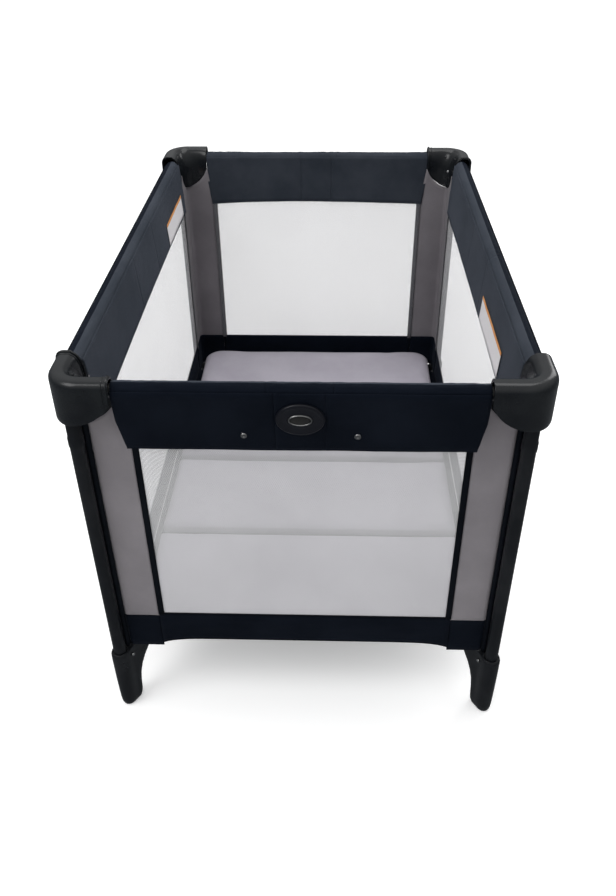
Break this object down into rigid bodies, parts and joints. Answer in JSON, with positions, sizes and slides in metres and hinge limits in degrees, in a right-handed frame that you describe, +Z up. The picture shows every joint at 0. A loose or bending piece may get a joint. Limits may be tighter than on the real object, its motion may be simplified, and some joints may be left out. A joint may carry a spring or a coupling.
{
  "type": "playpen",
  "caption": "Folding travel playpen with padded top rails, net sides, corner castings, splayed feet and a flat sectioned mattress.",
  "frame": {"origin": "floor level under the middle of the playpen", "axes": "+Z up, Y along the long sides, X across the short ends"},
  "size_m": [0.72, 1.1, 0.72],
  "materials": {
    "post": "satin",
    "rail": "bright zinc",
    "casting": "glossy",
    "foot": "satin",
    "rivet": "polished",
    "latch": "satin",
    "button": "silver rim",
    "dark_cloth": "woven, matte",
    "grey_cloth": "woven, matte",
    "net": "open net",
    "pad_cloth": "woven, matte",
    "webbing": "woven webbing"
  },
  "bodies": {
    "corner_fl": {"post_fl": "post", "casting_fl": "casting", "foot_fl": "foot", "foot_pin_fl": "rivet", "corner_cloth_fl": "grey_cloth", "cover_front": "dark_cloth", "mesh_front": "net", "cover_left": "dark_cloth", "mesh_left": "net", "floor_tray": "dark_cloth"},
    "corner_fr": {"post_fr": "post", "casting_fr": "casting", "foot_fr": "foot", "foot_pin_fr": "rivet", "corner_cloth_fr": "grey_cloth"},
    "corner_br": {"post_br": "post", "casting_br": "casting", "foot_br": "foot", "foot_pin_br": "rivet", "corner_cloth_br": "grey_cloth", "cover_right": "dark_cloth", "mesh_right": "net", "cover_back": "dark_cloth", "mesh_back": "net"},
    "corner_bl": {"post_bl": "post", "casting_bl": "casting", "foot_bl": "foot", "foot_pin_bl": "rivet", "corner_cloth_bl": "grey_cloth"},
    "base_arm_fl": {"arm_fl": "rail"},
    "base_arm_fr": {"arm_fr": "rail"},
    "base_arm_br": {"arm_br": "rail"},
    "base_arm_bl": {"arm_bl": "rail"},
    "hub_body": {"hub": "foot", "hub_leg": "foot", "hub_pin_fl": "rivet", "hub_pin_fr": "rivet", "hub_pin_br": "rivet", "hub_pin_bl": "rivet"},
    "rail_front_l_body": {"rail_front_l": "rail"},
    "latch_front_body": {"latch_front": "latch"},
    "rail_front_r_body": {"rail_front_r": "rail"},
    "button_front_body": {"button_front": "button"},
    "rail_back_l_body": {"rail_back_l": "rail"},
    "latch_back_body": {"latch_back": "latch"},
    "rail_back_r_body": {"rail_back_r": "rail"},
    "button_back_body": {"button_back": "button"},
    "rail_left_f_body": {"rail_left_f": "rail"},
    "latch_left_body": {"latch_left": "latch"},
    "rail_left_b_body": {"rail_left_b": "rail"},
    "button_left_body": {"button_left": "button"},
    "rail_right_f_body": {"rail_right_f": "rail"},
    "latch_right_body": {"latch_right": "latch"},
    "rail_right_b_body": {"rail_right_b": "rail"},
    "button_right_body": {"button_right": "button"},
    "strap_body": {"pull_strap": "webbing"},
    "mattress_1_body": {"mattress_1": "pad_cloth"},
    "mattress_2_body": {"mattress_2": "pad_cloth"},
    "mattress_3_body": {"mattress_3": "pad_cloth"},
    "mattress_4_body": {"mattress_4": "pad_cloth"}
  },
  "joints": [
    {"name": "fold", "type": "hinge", "parent": "corner_fl", "child": "base_arm_fl", "pos_m": [-0.30078, -0.47239, 0.122], "axis": [0.8435, -0.5371, 0], "range_deg": [0, 80], "deforming": ["cover_front", "cover_back", "cover_left", "cover_right", "mesh_front", "mesh_back", "mesh_left", "mesh_right", "floor_tray", "mattress_1", "mattress_2", "mattress_3", "mattress_4"]},
    {"name": "hub_follow", "type": "hinge", "parent": "base_arm_fl", "child": "hub_body", "pos_m": [-0.0376, -0.05905, 0.122], "axis": [0.8435, -0.5371, 0], "range_deg": [-80, 0]},
    {"name": "arm_fr_follow", "type": "hinge", "parent": "hub_body", "child": "base_arm_fr", "pos_m": [0.0376, -0.05905, 0.122], "axis": [0.8435, 0.5371, 0], "range_deg": [0, 80]},
    {"name": "post_fr_follow", "type": "hinge", "parent": "base_arm_fr", "child": "corner_fr", "pos_m": [0.30078, -0.47239, 0.122], "axis": [0.8435, 0.5371, 0], "range_deg": [-80, 0]},
    {"name": "arm_br_follow", "type": "hinge", "parent": "hub_body", "child": "base_arm_br", "pos_m": [0.0376, 0.05905, 0.122], "axis": [-0.8435, 0.5371, 0], "range_deg": [0, 80]},
    {"name": "post_br_follow", "type": "hinge", "parent": "base_arm_br", "child": "corner_br", "pos_m": [0.30078, 0.47239, 0.122], "axis": [-0.8435, 0.5371, 0], "range_deg": [-80, 0]},
    {"name": "arm_bl_follow", "type": "hinge", "parent": "hub_body", "child": "base_arm_bl", "pos_m": [-0.0376, 0.05905, 0.122], "axis": [-0.8435, -0.5371, 0], "range_deg": [0, 80]},
    {"name": "post_bl_follow", "type": "hinge", "parent": "base_arm_bl", "child": "corner_bl", "pos_m": [-0.30078, 0.47239, 0.122], "axis": [-0.8435, -0.5371, 0], "range_deg": [-80, 0]},
    {"name": "rail_front_l_follow", "type": "hinge", "parent": "corner_fl", "child": "rail_front_l_body", "pos_m": [-0.287, -0.529, 0.698], "axis": [0, 1, 0], "range_deg": [0, 80]},
    {"name": "latch_front_follow", "type": "hinge", "parent": "rail_front_l_body", "child": "latch_front_body", "pos_m": [-0.02382, -0.529, 0.698], "axis": [0, 1, 0], "range_deg": [-80, 0]},
    {"name": "rail_front_r_follow", "type": "hinge", "parent": "corner_fr", "child": "rail_front_r_body", "pos_m": [0.287, -0.529, 0.698], "axis": [0, -1, 0], "range_deg": [0, 80]},
    {"name": "button_front_press", "type": "slide", "parent": "latch_front_body", "child": "button_front_body", "axis": [0, 0.9848, 0.1736], "range_m": [0, 0.004], "stiffness_N_per_m": 400, "springref_m": -0.003},
    {"name": "rail_back_l_follow", "type": "hinge", "parent": "corner_bl", "child": "rail_back_l_body", "pos_m": [-0.287, 0.529, 0.698], "axis": [0, 1, 0], "range_deg": [0, 80]},
    {"name": "latch_back_follow", "type": "hinge", "parent": "rail_back_l_body", "child": "latch_back_body", "pos_m": [-0.02382, 0.529, 0.698], "axis": [0, 1, 0], "range_deg": [-80, 0]},
    {"name": "rail_back_r_follow", "type": "hinge", "parent": "corner_br", "child": "rail_back_r_body", "pos_m": [0.287, 0.529, 0.698], "axis": [0, -1, 0], "range_deg": [0, 80]},
    {"name": "button_back_press", "type": "slide", "parent": "latch_back_body", "child": "button_back_body", "axis": [0, -0.9848, 0.1736], "range_m": [0, 0.004], "stiffness_N_per_m": 400, "springref_m": -0.003},
    {"name": "rail_left_f_follow", "type": "hinge", "parent": "corner_fl", "child": "rail_left_f_body", "pos_m": [-0.339, -0.477, 0.698], "axis": [-1, 0, 0], "range_deg": [0, 80]},
    {"name": "latch_left_follow", "type": "hinge", "parent": "rail_left_f_body", "child": "latch_left_body", "pos_m": [-0.339, -0.06366, 0.698], "axis": [-1, 0, 0], "range_deg": [-80, 0]},
    {"name": "rail_left_b_follow", "type": "hinge", "parent": "corner_bl", "child": "rail_left_b_body", "pos_m": [-0.339, 0.477, 0.698], "axis": [1, 0, 0], "range_deg": [0, 80]},
    {"name": "button_left_press", "type": "slide", "parent": "latch_left_body", "child": "button_left_body", "axis": [0.9848, 0, 0.1736], "range_m": [0, 0.004], "stiffness_N_per_m": 400, "springref_m": -0.003},
    {"name": "rail_right_f_follow", "type": "hinge", "parent": "corner_fr", "child": "rail_right_f_body", "pos_m": [0.339, -0.477, 0.698], "axis": [-1, 0, 0], "range_deg": [0, 80]},
    {"name": "latch_right_follow", "type": "hinge", "parent": "rail_right_f_body", "child": "latch_right_body", "pos_m": [0.339, -0.06366, 0.698], "axis": [-1, 0, 0], "range_deg": [-80, 0]},
    {"name": "rail_right_b_follow", "type": "hinge", "parent": "corner_br", "child": "rail_right_b_body", "pos_m": [0.339, 0.477, 0.698], "axis": [1, 0, 0], "range_deg": [0, 80]},
    {"name": "button_right_press", "type": "slide", "parent": "latch_right_body", "child": "button_right_body", "axis": [-0.9848, 0, 0.1736], "range_m": [0, 0.004], "stiffness_N_per_m": 400, "springref_m": -0.003},
    {"name": "strap_follow", "type": "slide", "parent": "hub_body", "child": "strap_body", "axis": [0, 0, 1], "range_m": [0, 0.11]},
    {"name": "mattress_lift", "type": "slide", "parent": "strap_body", "child": "mattress_2_body", "axis": [0, 0, 1], "range_m": [0, 0.6]},
    {"name": "mattress_1_fold", "type": "hinge", "parent": "mattress_2_body", "child": "mattress_1_body", "pos_m": [0, -0.2475, 0.1925], "axis": [-1, 0, 0], "range_deg": [0, 90]},
    {"name": "mattress_3_fold", "type": "hinge", "parent": "mattress_2_body", "child": "mattress_3_body", "pos_m": [0, 0, 0.1925], "axis": [1, 0, 0], "range_deg": [0, 90]},
    {"name": "mattress_4_fold", "type": "hinge", "parent": "mattress_3_body", "child": "mattress_4_body", "pos_m": [0, 0.2475, 0.1925], "axis": [1, 0, 0], "range_deg": [0, 90]}
  ],
  "couplings": [
    {"joint": "hub_follow", "follows": "fold", "ratio": -1},
    {"joint": "arm_fr_follow", "follows": "fold", "ratio": 1},
    {"joint": "post_fr_follow", "follows": "fold", "ratio": -1},
    {"joint": "arm_br_follow", "follows": "fold", "ratio": 1},
    {"joint": "post_br_follow", "follows": "fold", "ratio": -1},
    {"joint": "arm_bl_follow", "follows": "fold", "ratio": 1},
    {"joint": "post_bl_follow", "follows": "fold", "ratio": -1},
    {"joint": "rail_front_l_follow", "follows": "fold", "ratio": 1},
    {"joint": "latch_front_follow", "follows": "fold", "ratio": -1},
    {"joint": "rail_front_r_follow", "follows": "fold", "ratio": 1},
    {"joint": "rail_back_l_follow", "follows": "fold", "ratio": 1},
    {"joint": "latch_back_follow", "follows": "fold", "ratio": -1},
    {"joint": "rail_back_r_follow", "follows": "fold", "ratio": 1},
    {"joint": "rail_left_f_follow", "follows": "fold", "ratio": 1},
    {"joint": "latch_left_follow", "follows": "fold", "ratio": -1},
    {"joint": "rail_left_b_follow", "follows": "fold", "ratio": 1},
    {"joint": "rail_right_f_follow", "follows": "fold", "ratio": 1},
    {"joint": "latch_right_follow", "follows": "fold", "ratio": -1},
    {"joint": "rail_right_b_follow", "follows": "fold", "ratio": 1},
    {"joint": "strap_follow", "follows": "fold", "m_per_rad": 0.078774}
  ]
}
